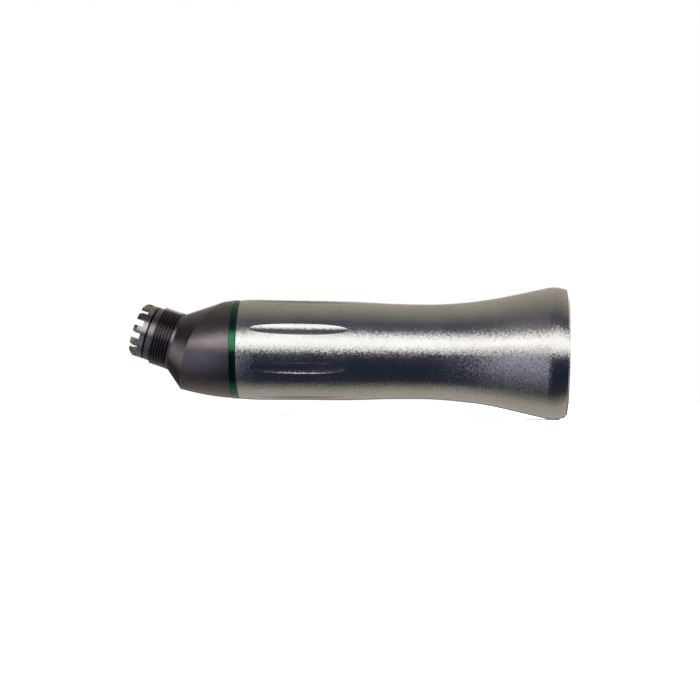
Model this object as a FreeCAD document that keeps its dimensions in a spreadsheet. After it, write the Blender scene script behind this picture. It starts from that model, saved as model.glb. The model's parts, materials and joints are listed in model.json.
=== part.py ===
"""Contra angle handpiece: the shank of a speed-reducing contra angle, with no head fitted.

The long axis lies along X. The rear face, where the motor enters, is at X = 0 and the front points to -X.
The neck bends up towards +Z. The origin is the centre of the motor socket's mouth. Units are millimetres.

Every sub-part is drawn in its own frame, with local +x along its axis and its own rear end at the origin.
Its Placement then turns local +x to the front of the handpiece, or along the neck.
"""
import FreeCAD, Part
import math
import os
import re

import Sketcher
from FreeCAD import Placement, Rotation, Vector

SIZES = {
    # handle sleeve: places along the axis, from the rear face, and outside radii
    "sleeve_length": 49.3,
    "sleeve_mouth": 9.52,
    "mouth_flare": 0.12,
    "rim_end": 3.14,
    "rim_radius": 9.87,
    "rim_arc": 5.0,
    "flare_end": 9.5,
    "flare_radius": 8.47,
    "waist": 22.0,
    "waist_radius": 7.17,
    "flare_arc": 60.6,
    "swell": 29.0,
    "swell_radius": 7.34,
    "swell_arc": 144.0,
    "grip": 38.0,
    "grip_radius": 7.56,
    "grip_arc": 185.0,
    "shoulder_place": 46.5,
    "shoulder_radius": 7.64,
    "sleeve_front_radius": 7.5,
    "shoulder_arc": 36.6,
    "rear_bore": 7.4,
    "rear_bore_depth": 9.0,
    "socket_bore": 6.6,
    "case_bore": 6.3,
    "edge": 0.25,
    "fine_edge": 0.1,
    # finger grooves in the handle
    "groove_count": 8,
    "groove_place": 38.6,
    "groove_depth": 0.23,
    "groove_section": 2.2,
    "groove_sweep": 126.0,
    "groove_turn": 12.0,
    # motor socket
    "motor_bore": 6.0,
    "nose_depth": 13.8,
    "dog_room": 5.2,
    "motor_depth": 22.0,
    "latch_place": 4.9,
    "latch_wire": 0.35,
    "latch_seat": 6.8,
    "latch_gap": 40.0,
    "latch_play": 0.05,
    # green ring and angle housing: places in front of the housing's rear shoulder
    "ring_width": 1.0,
    "housing_start_radius": 7.42,
    "housing_mid_place": 3.4,
    "housing_mid_radius": 6.98,
    "housing_mid_drop": 0.12,
    "housing_chin_place": 6.4,
    "housing_chin_radius": 6.32,
    "housing_chin_drop": 0.24,
    "housing_nose_place": 10.0,
    "housing_nose_radius": 5.22,
    "housing_nose_drop": 0.38,
    "spigot_length": 4.0,
    "spigot_bore": 5.2,
    "spigot_root": 0.5,
    "ring_cord": 0.32,
    "ring_seat": 2.0,
    "ring_seat_half": 0.4,
    "cord_play": 0.02,
    "chamber_radius": 3.9,
    "chamber_reach": 0.3,
    "cap_thickness": 0.6,
    "cap_gap": 0.05,
    "seat_relief": 0.4,
    "land_clearance": 0.2,
    "apex": 56.0,
    # neck: distances from the bend, along the neck
    "bend": 18.0,
    "cone_slope": 0.75,
    "trim_rear": 4.0,
    "trim_front": 12.0,
    "trim_radius": 14.0,
    "neck_start": 3.2,
    "neck_sunk": 1.5,
    "thread_start": 3.6,
    "thread_end": 6.4,
    "thread_crest": 4.45,
    "thread_root": 4.2,
    "thread_core": 3.95,
    "thread_pitch": 0.44,
    "land_end": 7.2,
    "land_radius": 4.1,
    "land_step": 0.2,
    "neck_end": 7.3,
    "neck_chamber": 3.6,
    "neck_seat": 1.9,
    "neck_bore": 3.3,
    "skirt_start": 5.95,
    "skirt_radius": 3.8,
    # index crown
    "crown_base": 7.45,
    "slot_floor": 8.32,
    "crown_tip": 9.6,
    "crown_bore": 3.5,
    "crown_lip": 0.5,
    "crown_lip_width": 0.2,
    "tip_chamfer": 0.55,
    "tip_rise": 0.35,
    "crown_slots": 12,
    "slot_width": 1.0,
    # bearings
    "bearing_width": 2.5,
    "bearing_bore": 1.5,
    "inner_land": 2.4,
    "outer_land": 3.1,
    "bearing_outside": 4.0,
    "ball_pitch": 2.75,
    "ball_radius": 0.5,
    "ball_count": 8,
    "small_width": 1.8,
    "small_bore": 1.0,
    "small_inner_land": 1.85,
    "small_outer_land": 2.45,
    "small_outside": 3.3,
    "small_pitch": 2.15,
    "small_ball": 0.4,
    "small_count": 7,
    "race_gap": 0.03,
    "pocket_gap": 0.05,
    "cage_width_share": 0.62,
    "cage_depth_share": 0.35,
    # rear ends of the bearings
    "input_rear_bearing": 23.0,
    "input_front_bearing": 27.4,
    "output_rear_bearing": 41.0,
    "output_front_bearing": 48.0,
    "neck_rear_bearing": 2.0,
    "neck_front_bearing": 4.1,
    # input shaft and drive dog
    "shaft_rear": 15.4,
    "tail_radius": 1.2,
    "shaft_chamfer": 0.2,
    "collar_radius": 2.0,
    "dog_place": 14.0,
    "dog_length": 5.6,
    "dog_radius": 2.6,
    "dog_bore": 1.25,
    "dog_jaw": 1.6,
    "dog_jaw_depth": 1.2,
    "dog_slot": 0.9,
    "dog_slot_play": 0.1,
    "dog_chamfer": 0.3,
    "dog_shoulder": 0.5,
    "spring_seat": 0.35,
    "collar_start": 22.3,
    "dog_travel": 1.2,
    "cross_pin_place": 17.6,
    "cross_pin_radius": 0.4,
    "spring_wire": 0.18,
    "spring_radius": 1.75,
    "spring_turns": 3.0,
    "spring_play": 0.01,
    # planetary gears
    "module_size": 0.3,
    "pinion_teeth": 12,
    "ring_teeth": 36,
    "pressure": 25.0,
    "addendum": 0.8,
    "dedendum": 1.05,
    "thinning": 0.03,
    "planet_count": 3,
    "ring_gear_start": 30.2,
    "ring_gear_length": 10.0,
    "gear_face": 2.8,
    "planet_gap": 0.3,
    "carrier_start": 34.0,
    "carrier_width": 1.0,
    "carrier_radius": 4.9,
    "carrier_gap": 0.4,
    "pinion_run": 3.5,
    "output_carrier_start": 38.8,
    "pin_radius": 0.6,
    "pin_head": 0.9,
    "pin_head_start": 0.3,
    "pin_head_end": 0.1,
    "pin_clearance": 0.04,
    "root_clearance": 0.02,
    # claw gears, where the drive turns the corner
    "claw_teeth": 12,
    "claw_radius": 3.2,
    "claw_inner": 1.9,
    "claw_half_width": 6.1,
    "claw_tip_angle": 7.0,
    "claw_root_angle": 9.4,
    "claw_back": 1.75,
    "claw_root_sunk": 3.0,
    "claw_loft_spare": 0.2,
    "claw_hub": 1.9,
    "neck_hub": 1.5,
    "shaft_end_gap": 0.9,
    # output gear in the neck
    "output_gear_place": 6.3,
    "output_gear_length": 1.3,
    "output_gear_module": 0.4,
    "neck_shaft_end": 7.8,
}

FRONTWARD = Rotation(Vector(0, 0, 1), 180)
REARWARD = Rotation()
NECKWARD = Rotation(Vector(0, 1, 0), SIZES["bend"]) * FRONTWARD

doc = FreeCAD.newDocument("ContraAngleHandpiece")
parts = []


def fill_sheet():
    """Write the driving dimensions to the sheet, one named cell each."""
    table = doc.addObject("Spreadsheet::Sheet", "Sizes")
    for row, (name, value) in enumerate(SIZES.items(), start=1):
        table.set(f"A{row}", name)
        table.set(f"B{row}", str(value))
        table.setAlias(f"B{row}", name)
    doc.recompute()
    return table


sheet = fill_sheet()


def bound(formula):
    """Point every size named in a formula at its cell."""
    return re.sub(r"[a-z_]+", lambda word: "Sizes." + word[0] if word[0] in SIZES else word[0], formula)


def size(formula):
    """The present value of a formula."""
    return float(sheet.evalExpression(bound(formula)))


def origin_item(body, role):
    """The plane or axis of a body's own origin."""
    return next(item for item in body.Origin.OriginFeatures if item.Role == role)


def keep(item, along="0", way=FRONTWARD, across=None, spin=0.0):
    """Register a sub-part and place it: along its way, and across it as (distance formula, degrees)."""
    if way is NECKWARD:
        place = (f"-(apex + cos(bend) * ({along}))", f"sin(bend) * ({along})")
    else:
        place = (f"-({along})", "0")
    base = Vector(size(place[0]), 0, size(place[1]))
    if across:
        angle = math.radians(across[1])
        base += way.multVec(Vector(0, math.cos(angle), math.sin(angle)) * size(across[0]))
    item.Placement = Placement(base, way * Rotation(Vector(1, 0, 0), spin))
    if item.TypeId != "Part::Feature":
        item.setExpression("Placement.Base.x", bound(place[0]))
        item.setExpression("Placement.Base.z", bound(place[1]))
    parts.append(item)
    return item


def arc_between(start, stop, radius, side):
    """The minor arc between two points; side +1 turns left along the outline, -1 turns right."""
    chord = stop - start
    left = Vector(-chord.y, chord.x, 0).normalize()
    reach = math.sqrt(radius**2 - chord.Length**2 / 4)
    centre = (start + stop) / 2 + left * (side * reach)
    first, last = (start, stop) if side > 0 else (stop, start)
    angles = [math.atan2(p.y - centre.y, p.x - centre.x) for p in (first, last)]
    return Part.ArcOfCircle(Part.Circle(centre, Vector(0, 0, 1), radius), *angles)


def pin_point(sketch, geometry, end, point):
    """Bind one outline point's two coordinates to their formulas."""
    for kind, formula, axis in (("DistanceX", point[0], -2), ("DistanceY", point[1], -1)):
        if formula == "0":
            sketch.addConstraint(Sketcher.Constraint("PointOnObject", geometry, end, axis))
            continue
        place = sketch.addConstraint(Sketcher.Constraint(kind, -1, 1, geometry, end, size(formula)))
        sketch.setExpression(f"Constraints[{place}]", bound(formula))


def draw(sketch, points):
    """Close an outline. A point is (x, y), or (x, y, radius, side) where an arc leads to it."""
    spots = [Vector(size(p[0]), size(p[1]), 0) for p in points]
    edges = []
    for index, point in enumerate(points):
        start, stop = spots[index - 1], spots[index]
        if len(point) == 2:
            edge = sketch.addGeometry(Part.LineSegment(start, stop), False)
            edges.append((edge, 1, 2))
            continue
        edge = sketch.addGeometry(arc_between(start, stop, size(point[2]), point[3]), False)
        edges.append((edge, 1, 2) if point[3] > 0 else (edge, 2, 1))
    for (edge, _, end), (following, begin, _) in zip(edges, edges[1:] + edges[:1]):
        sketch.addConstraint(Sketcher.Constraint("Coincident", edge, end, following, begin))
    for (edge, _, end), point in zip(edges, points):
        pin_point(sketch, edge, end, point)
        if len(point) == 4:
            radius = sketch.addConstraint(Sketcher.Constraint("Radius", edge, size(point[2])))
            sketch.setExpression(f"Constraints[{radius}]", bound(point[2]))


def new_sketch(body, name, role="XZ_Plane"):
    sketch = body.newObject("Sketcher::SketchObject", name)
    sketch.AttachmentSupport = [(origin_item(body, role), "")]
    sketch.MapMode = "FlatFace"
    return sketch


def add_body(label):
    body = doc.addObject("PartDesign::Body", label)
    body.AllowCompound = True
    return body


def revolve(body, points, name, kind="PartDesign::Revolution", axis=None):
    """Turn an outline about the body's axis, or about another axis given as the sketch's own placement."""
    sketch = new_sketch(body, body.Label + name + "Outline")
    if axis:
        sketch.AttachmentOffset = axis
    draw(sketch, points)
    turned = body.newObject(kind, body.Label + name)
    turned.Profile = sketch
    turned.ReferenceAxis = (sketch, ["H_Axis"])
    turned.Angle = 360
    return turned


def turned_part(label, points, along="0", way=FRONTWARD):
    """A turned piece from one closed outline."""
    body = add_body(label)
    revolve(body, points, "Turning")
    return keep(body, along, way)


def expect_less(body, cut):
    """A cut must take material off what came before it."""
    doc.recompute()
    if not cut.Shape.Volume < cut.BaseFeature.Shape.Volume - 1e-6:
        raise ValueError(f"{body.Label}: {cut.Label} cuts nothing")


# ---------------------------------------------------------------- handle


def handle_sleeve():
    body = add_body("handle_sleeve")
    revolve(
        body,
        [
            ("0", "sleeve_mouth - edge"),
            ("edge", "sleeve_mouth + mouth_flare"),
            ("rim_end", "rim_radius", "rim_arc", -1),
            ("flare_end", "flare_radius"),
            ("waist", "waist_radius", "flare_arc", 1),
            ("swell", "swell_radius", "swell_arc", 1),
            ("grip", "grip_radius", "grip_arc", -1),
            ("shoulder_place", "shoulder_radius"),
            ("sleeve_length - fine_edge", "sleeve_front_radius", "shoulder_arc", -1),
            ("sleeve_length", "sleeve_front_radius - fine_edge"),
            ("sleeve_length", "case_bore"),
            ("motor_depth", "case_bore"),
            ("motor_depth", "socket_bore"),
            ("rear_bore_depth", "socket_bore"),
            ("rear_bore_depth", "rear_bore"),
            ("edge", "rear_bore"),
            ("0", "rear_bore + edge"),
        ],
        "Wall",
    )
    finger_grooves(body)
    return keep(body, spin=180 / size("groove_count"))


def finger_grooves(body):
    """Cut one pointed groove, then repeat it round the handle."""
    sketch = new_sketch(body, "GrooveSection", "YZ_Plane")
    sketch.AttachmentOffset = Placement(Vector(0, 0, size("groove_place")), Rotation())
    sketch.setExpression("AttachmentOffset.Base.z", bound("groove_place"))
    floor = size("grip_radius - groove_depth")
    section = size("groove_section")
    circle = sketch.addGeometry(Part.Circle(Vector(floor + section, 0, 0), Vector(0, 0, 1), section), False)
    far = floor + size("groove_sweep")
    axis = sketch.addGeometry(Part.LineSegment(Vector(far, -1, 0), Vector(far, 1, 0)), True)
    sketch.addConstraint(Sketcher.Constraint("PointOnObject", circle, 3, -1))
    middle = Sketcher.Constraint("DistanceX", -1, 1, circle, 3, floor + section)
    place = sketch.addConstraint(middle)
    sketch.setExpression(f"Constraints[{place}]", bound("grip_radius - groove_depth + groove_section"))
    radius = sketch.addConstraint(Sketcher.Constraint("Radius", circle, section))
    sketch.setExpression(f"Constraints[{radius}]", bound("groove_section"))
    sketch.addConstraint(Sketcher.Constraint("Vertical", axis))
    reach = sketch.addConstraint(Sketcher.Constraint("DistanceX", -1, 1, axis, 1, far))
    sketch.setExpression(f"Constraints[{reach}]", bound("grip_radius - groove_depth + groove_sweep"))
    groove = body.newObject("PartDesign::Groove", "FingerGroove")
    groove.Profile = sketch
    groove.ReferenceAxis = (sketch, ["Axis0"])
    groove.setExpression("Angle", bound("groove_turn"))
    groove.Midplane = True
    expect_less(body, groove)
    repeat_around(body, groove, "groove_count", "FingerGrooves")


def repeat_around(body, feature, count, name):
    """Repeat a feature evenly about the body's axis."""
    pattern = body.newObject("PartDesign::PolarPattern", body.Label + name)
    pattern.Originals = [feature]
    pattern.Axis = (origin_item(body, "X_Axis"), [""])
    pattern.Angle = 360
    pattern.Occurrences = int(size(count))
    body.Tip = pattern
    doc.recompute()
    return pattern


def socket_liner():
    """The motor's nose stops at this liner's shoulder. A groove in its bore holds the latch ring."""
    return turned_part(
        "socket_liner",
        [
            ("0", "motor_bore"),
            ("latch_place - latch_wire - fine_edge", "motor_bore"),
            ("latch_place - latch_wire - fine_edge", "latch_seat"),
            ("latch_place + latch_wire + fine_edge", "latch_seat"),
            ("latch_place + latch_wire + fine_edge", "motor_bore"),
            ("nose_depth", "motor_bore"),
            ("nose_depth", "dog_room"),
            ("motor_depth", "dog_room"),
            ("motor_depth", "socket_bore"),
            ("rear_bore_depth", "socket_bore"),
            ("rear_bore_depth", "rear_bore"),
            ("edge", "rear_bore"),
            ("0", "rear_bore - edge"),
        ],
    )


def latch_ring():
    """An open snap ring of round wire."""
    body = add_body("latch_ring")
    sketch = new_sketch(body, "LatchWire")
    reach = "latch_seat - latch_wire - latch_play"
    height = size(reach)
    wire = sketch.addGeometry(Part.Circle(Vector(0, height, 0), Vector(0, 0, 1), size("latch_wire")), False)
    sketch.addConstraint(Sketcher.Constraint("PointOnObject", wire, 3, -2))
    middle = sketch.addConstraint(Sketcher.Constraint("DistanceY", -1, 1, wire, 3, height))
    sketch.setExpression(f"Constraints[{middle}]", bound(reach))
    radius = sketch.addConstraint(Sketcher.Constraint("Radius", wire, size("latch_wire")))
    sketch.setExpression(f"Constraints[{radius}]", bound("latch_wire"))
    turned = body.newObject("PartDesign::Revolution", "LatchTurning")
    turned.Profile = sketch
    turned.ReferenceAxis = (origin_item(body, "X_Axis"), [""])
    turned.setExpression("Angle", bound("360 - latch_gap"))
    return keep(body, "latch_place")


def gear_case():
    """Bearing housings fore and aft of the fixed ring gear, all clamped in the sleeve."""
    turned_part(
        "input_bearing_housing",
        [
            ("0", "outer_land"),
            ("input_rear_bearing - motor_depth", "outer_land"),
            ("input_rear_bearing - motor_depth", "bearing_outside"),
            ("ring_gear_start - motor_depth", "bearing_outside"),
            ("ring_gear_start - motor_depth", "case_bore"),
            ("0", "case_bore"),
        ],
        "motor_depth",
    )
    start = "ring_gear_start + ring_gear_length"
    rear_seat = f"output_rear_bearing + bearing_width - ({start})"
    front_seat = f"output_front_bearing - ({start})"
    cap = f"{front_seat} + bearing_width"
    spigot = f"sleeve_length - spigot_length - ({start})"
    turned_part(
        "output_bearing_carrier",
        [
            ("0", "bearing_outside"),
            (rear_seat, "bearing_outside"),
            (rear_seat, "bearing_outside - seat_relief"),
            (front_seat, "bearing_outside - seat_relief"),
            (front_seat, "bearing_outside"),
            (cap, "bearing_outside"),
            (cap, "outer_land + land_clearance"),
            (f"{cap} + cap_thickness", "outer_land + land_clearance"),
            (f"{cap} + cap_thickness", "spigot_bore"),
            (spigot, "spigot_bore"),
            (spigot, "case_bore"),
            ("0", "case_bore"),
        ],
        start,
    )


# ---------------------------------------------------------------- angle housing, ring and crown


def green_ring():
    turned_part(
        "green_ring",
        [
            ("0", "case_bore"),
            ("ring_width", "case_bore"),
            ("ring_width", "sleeve_front_radius - fine_edge"),
            ("ring_width - fine_edge", "sleeve_front_radius"),
            ("fine_edge", "sleeve_front_radius"),
            ("0", "sleeve_front_radius - fine_edge"),
        ],
        "sleeve_length",
    )


def housing_loft(body):
    """The outer shape: round sections that shrink forwards and settle towards the chin."""
    sections = [("0", "housing_start_radius", "0")]
    for name in ("mid", "chin", "nose"):
        sections.append((f"housing_{name}_place", f"housing_{name}_radius", f"housing_{name}_drop"))
    sketches = []
    for index, (place, radius, drop) in enumerate(sections):
        sketch = new_sketch(body, f"HousingSection{index}", "YZ_Plane")
        sketch.AttachmentOffset = Placement(Vector(0, 0, size(place)), Rotation())
        sketch.setExpression("AttachmentOffset.Base.z", bound(place))
        centre = Vector(0, -size(drop), 0)
        circle = sketch.addGeometry(Part.Circle(centre, Vector(0, 0, 1), size(radius)), False)
        sketch.addConstraint(Sketcher.Constraint("PointOnObject", circle, 3, -2))
        middle = sketch.addConstraint(Sketcher.Constraint("DistanceY", -1, 1, circle, 3, -size(drop)))
        sketch.setExpression(f"Constraints[{middle}]", bound(f"-({drop})"))
        outline = sketch.addConstraint(Sketcher.Constraint("Radius", circle, size(radius)))
        sketch.setExpression(f"Constraints[{outline}]", bound(radius))
        sketches.append(sketch)
    doc.recompute()
    loft = body.newObject("PartDesign::AdditiveLoft", "HousingShell")
    loft.Profile = sketches[0]
    loft.Sections = sketches[1:]
    doc.recompute()


def thread_ridge():
    """The neck's external thread: one ridge wound round the root, made by twisting its cross-section."""
    root, crest = size("thread_root"), size("thread_crest")
    run = size("thread_end - thread_start")
    flat = math.radians(30)
    steps = 8

    def rise(angle):
        """Radius of the section at an angle: crest flat at 0, root flat at 180 degrees."""
        share = min(max((abs(angle) - flat) / (math.pi - 2 * flat), 0), 1)
        return crest + (root - crest) * share

    def spot(angle):
        return Vector(0, rise(angle) * math.cos(angle), rise(angle) * math.sin(angle))

    def flank(first, last):
        curve = Part.BSplineCurve()
        curve.interpolate([spot(first + (last - first) * step / steps) for step in range(steps + 1)])
        return curve.toShape()

    near, far = flat, math.pi - flat
    edges = [
        Part.Arc(spot(-near), spot(0), spot(near)).toShape(),
        flank(near, far),
        Part.Arc(spot(far), spot(math.pi), spot(-far)).toShape(),
        flank(-far, -near),
    ]
    spine = Part.Wire(Part.LineSegment(Vector(0, 0, 0), Vector(run, 0, 0)).toShape())
    helix = Part.makeHelix(size("thread_pitch"), run, crest)
    helix.Placement = Placement(Vector(0, 0, 0), Rotation(Vector(0, 0, 1), Vector(1, 0, 0)))
    pipe = Part.BRepOffsetAPI.MakePipeShell(spine)
    pipe.setAuxiliarySpine(Part.Wire(helix.Edges), True, 0)
    pipe.add(Part.Wire(edges))
    pipe.build()
    pipe.makeSolid()
    return pipe.shape()


def angle_housing():
    """One piece: spigot, tapered shell cut by a cone about the neck, the neck and its thread."""
    body = add_body("HousingBody")
    bend_point = Vector(size("apex - sleeve_length - ring_width"), 0, 0)
    neck_axis = Placement(bend_point, Rotation(Vector(0, 0, 1), size("bend")))
    housing_loft(body)
    trim = revolve(body, trim_outline(), "Trim", "PartDesign::Groove", neck_axis)
    expect_less(body, trim)
    revolve(body, neck_outline(), "Neck", axis=neck_axis)
    revolve(body, spigot_outline(), "Spigot")
    doc.recompute()
    chamber = revolve(body, chamber_outline(), "Chamber", "PartDesign::Groove")
    expect_less(body, chamber)
    bore = revolve(body, neck_bore_outline(), "NeckBore", "PartDesign::Groove", neck_axis)
    expect_less(body, bore)
    body.Placement = Placement(Vector(-size("sleeve_length + ring_width"), 0, 0), FRONTWARD)
    thread = doc.addObject("Part::Feature", "NeckThread")
    core = Part.makeCylinder(size("thread_core"), size("thread_end"), Vector(), Vector(1, 0, 0))
    thread.Shape = thread_ridge().cut(core)
    start = Vector(-1, 0, 0) * size("apex") + NECKWARD.multVec(Vector(1, 0, 0)) * size("thread_start")
    thread.Placement = Placement(start, NECKWARD)
    housing = doc.addObject("Part::Fuse", "angle_housing")
    housing.Base = body
    housing.Tool = thread
    parts.append(housing)


def trim_outline():
    """Everything outside the shoulder cone, its band and the neck."""
    return [
        ("-trim_rear", "thread_crest + cone_slope * (neck_start + trim_rear)"),
        ("neck_start", "thread_crest"),
        ("thread_start", "thread_crest"),
        ("thread_start", "thread_core"),
        ("trim_front", "thread_core"),
        ("trim_front", "trim_radius"),
        ("-trim_rear", "trim_radius"),
    ]


def neck_outline():
    """The solid neck in front of the shoulder, slimmer where the thread is wound on."""
    return [
        ("neck_start - neck_sunk", "0"),
        ("neck_end", "0"),
        ("neck_end", "land_radius - land_step"),
        ("land_end", "land_radius - land_step"),
        ("land_end", "land_radius"),
        ("thread_end", "land_radius"),
        ("thread_end", "thread_core"),
        ("thread_start", "thread_core"),
        ("thread_start", "thread_crest"),
        ("neck_start - neck_sunk", "thread_crest"),
    ]


def spigot_outline():
    """The spigot that goes into the sleeve, with the seat of its O-ring."""
    floor = "case_bore - 2 * ring_cord - cord_play"
    return [
        ("-spigot_length", "0"),
        ("spigot_root", "0"),
        ("spigot_root", "case_bore"),
        ("-ring_seat + ring_seat_half", "case_bore"),
        ("-ring_seat + ring_seat_half", floor),
        ("-ring_seat - ring_seat_half", floor),
        ("-ring_seat - ring_seat_half", "case_bore"),
        ("-spigot_length", "case_bore"),
    ]


def chamber_outline():
    """The hollow about the long axis: the bearing carrier's seat, then room for the claw gear."""
    shoulder = "sleeve_length + ring_width"
    step = f"output_front_bearing + bearing_width + cap_thickness + cap_gap - ({shoulder})"
    end = f"apex - ({shoulder}) + chamber_reach"
    return [
        ("-spigot_length - edge", "0"),
        ("-spigot_length - edge", "spigot_bore"),
        (step, "spigot_bore"),
        (step, "chamber_radius"),
        (end, "chamber_radius"),
        (end, "0"),
    ]


def neck_bore_outline():
    """The hollow about the neck: gear chamber, bearing seat and the seat of the crown's skirt."""
    return [
        ("-neck_sunk", "0"),
        ("-neck_sunk", "neck_chamber"),
        ("neck_seat", "neck_chamber"),
        ("neck_seat", "neck_bore"),
        ("skirt_start", "neck_bore"),
        ("skirt_start", "skirt_radius"),
        ("neck_end + edge", "skirt_radius"),
        ("neck_end + edge", "0"),
    ]


def sleeve_o_ring():
    """The O-ring on the spigot."""
    torus = doc.addObject("Part::Torus", "sleeve_o_ring")
    torus.setExpression("Radius1", bound("case_bore - ring_cord"))
    torus.setExpression("Radius2", bound("ring_cord"))
    upright = Rotation(Vector(0, 0, 1), Vector(1, 0, 0))
    keep(torus, "sleeve_length + ring_width - ring_seat")
    torus.Placement = Placement(torus.Placement.Base, FRONTWARD * upright)


def index_crown():
    """Prongs on a ring, with a skirt held in the neck and a lip that stops the neck's bearings."""
    body = add_body("index_crown")
    start = "skirt_start"
    lip = "crown_bore - crown_lip"
    revolve(
        body,
        [
            ("0", lip),
            ("crown_lip_width", lip),
            ("crown_lip_width", "crown_bore"),
            (f"crown_tip - {start}", "crown_bore"),
            (f"crown_tip - {start}", "land_radius - tip_rise"),
            (f"crown_tip - tip_chamfer - {start}", "land_radius"),
            (f"crown_base - {start}", "land_radius"),
            (f"crown_base - {start}", "skirt_radius"),
            ("0", "skirt_radius"),
        ],
        "Turning",
    )
    slot = new_sketch(body, "CrownSlotOutline", "YZ_Plane")
    slot.AttachmentOffset = Placement(Vector(0, 0, size(f"crown_tip - {start}")), Rotation())
    slot.setExpression("AttachmentOffset.Base.z", bound(f"crown_tip - {start}"))
    outside = "land_radius + edge"
    half = "slot_width / 2"
    draw(slot, [(lip, f"-{half}"), (outside, f"-{half}"), (outside, half), (lip, half)])
    doc.recompute()
    pocket = body.newObject("PartDesign::Pocket", "CrownSlot")
    pocket.Profile = slot
    pocket.setExpression("Length", bound("crown_tip - slot_floor"))
    expect_less(body, pocket)
    repeat_around(body, pocket, "crown_slots", "CrownSlots")
    keep(body, start, NECKWARD, spin=180 / size("crown_slots"))


# ---------------------------------------------------------------- bearings


LARGE_BEARING = {
    "width": "bearing_width",
    "bore": "bearing_bore",
    "inner": "inner_land",
    "outer": "outer_land",
    "outside": "bearing_outside",
    "pitch": "ball_pitch",
    "ball": "ball_radius",
    "count": "ball_count",
}
SMALL_BEARING = {
    "width": "small_width",
    "bore": "small_bore",
    "inner": "small_inner_land",
    "outer": "small_outer_land",
    "outside": "small_outside",
    "pitch": "small_pitch",
    "ball": "small_ball",
    "count": "small_count",
}


def race(kind, land):
    """Half the width of the ball track where it meets a land."""
    return f"sqrt(({kind['ball']} + race_gap)^2 - ({kind['pitch']} - {kind[land]})^2)"


def ring_pair(label, outline, rear, front, way):
    """The same ring in both bearings of a pair."""
    body = add_body(label)
    ring = revolve(body, outline, "Ring")
    doc.recompute()
    pattern = body.newObject("PartDesign::LinearPattern", label + "Pair")
    pattern.Originals = [ring]
    pattern.Direction = (origin_item(body, "X_Axis"), [""])
    pattern.setExpression("Length", bound(f"{front} - {rear}"))
    pattern.Occurrences = 2
    body.Tip = pattern
    keep(body, rear, way)


def bearing_pair(label, kind, rear, front, way=FRONTWARD):
    """Two ball bearings on one shaft: rings, cages and balls, each kind of piece in a node of its own."""
    width = kind["width"]
    inner, outer = race(kind, "inner"), race(kind, "outer")
    outer_outline = [
        ("0", kind["outer"]),
        (f"{width} / 2 - {outer}", kind["outer"]),
        (f"{width} / 2 + {outer}", kind["outer"], f"{kind['ball']} + race_gap", -1),
        (width, kind["outer"]),
        (width, kind["outside"]),
        ("0", kind["outside"]),
    ]
    inner_outline = [
        ("0", kind["bore"]),
        (width, kind["bore"]),
        (width, kind["inner"]),
        (f"{width} / 2 + {inner}", kind["inner"]),
        (f"{width} / 2 - {inner}", kind["inner"], f"{kind['ball']} + race_gap", -1),
        ("0", kind["inner"]),
    ]
    ring_pair(f"{label}_outer_rings", outer_outline, rear, front, way)
    ring_pair(f"{label}_inner_rings", inner_outline, rear, front, way)
    cages, balls = [], []
    for shift in (0, size(f"{front} - {rear}")):
        cage, loose = cage_and_balls(kind, shift)
        cages.append(cage)
        balls.extend(loose)
    for name, solids in (("cages", cages), ("balls", balls)):
        feature = doc.addObject("Part::Feature", f"{label}_{name}")
        feature.Shape = Part.makeCompound(solids)
        keep(feature, rear, way)


def tube(inside, outside, length, start=Vector()):
    """A plain tube along local x."""
    along = Vector(1, 0, 0)
    solid = Part.makeCylinder(outside, length, start, along)
    return solid.cut(Part.makeCylinder(inside, length, start, along))


def cage_and_balls(kind, shift):
    """One cage with a round pocket for each ball, and the balls."""
    pitch, ball = size(kind["pitch"]), size(kind["ball"])
    width = size(f"{kind['width']} * cage_width_share")
    middle = shift + size(kind["width"]) / 2
    share = size("cage_depth_share")
    inside = size(kind["inner"]) * (1 - share) + pitch * share
    outside = size(kind["outer"]) * (1 - share) + pitch * share
    start = Vector(middle - width / 2, 0, 0)
    cage = tube(inside, outside, width, start)
    balls = []
    count = int(size(kind["count"]))
    for index in range(count):
        angle = math.radians(90 + 360 * index / count)
        centre = Vector(middle, pitch * math.cos(angle), pitch * math.sin(angle))
        cage = cage.cut(Part.makeSphere(ball + size("pocket_gap"), centre))
        balls.append(Part.makeSphere(ball, centre))
    return cage, balls


# ---------------------------------------------------------------- toothed parts


def involute(angle):
    return math.tan(angle) - angle


def gear_face(teeth, module, growth, tip, root):
    """The face of a spur gear across local x, with a tooth on +y. growth widens each flank at the pitch."""
    pitch_radius = module * teeth / 2
    pressure = math.radians(size("pressure"))
    base = pitch_radius * math.cos(pressure)
    half = math.pi / (2 * teeth) + growth / pitch_radius

    def flank_angle(radius):
        """Half the angle that a tooth takes up at a radius."""
        slope = math.acos(min(1, base / radius))
        return half + involute(pressure) - involute(slope)

    def spot(radius, angle):
        return Vector(0, radius * math.cos(angle), radius * math.sin(angle))

    def flank(centre, side):
        """Three points along the involute are enough at this size."""
        low = max(root, base)
        radii = [low, (low + tip) / 2, tip]
        return [spot(radius, centre + side * flank_angle(radius)) for radius in radii]

    def curve(points):
        spline = Part.BSplineCurve()
        spline.interpolate(points)
        return spline.toShape()

    edges = []
    step = 2 * math.pi / teeth
    foot = flank_angle(max(root, base))
    for tooth in range(teeth):
        centre = tooth * step
        up, down = flank(centre, -1), flank(centre, 1)[::-1]
        if root < base:
            edges.append(Part.LineSegment(spot(root, centre - foot), up[0]).toShape())
        edges.append(curve(up))
        edges.append(Part.Arc(up[-1], spot(tip, centre), down[0]).toShape())
        edges.append(curve(down))
        if root < base:
            edges.append(Part.LineSegment(down[-1], spot(root, centre + foot)).toShape())
        valley = spot(root, centre + step / 2)
        edges.append(Part.Arc(spot(root, centre + foot), valley, spot(root, centre + step - foot)).toShape())
    return Part.Face(Part.Wire(edges))


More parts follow.
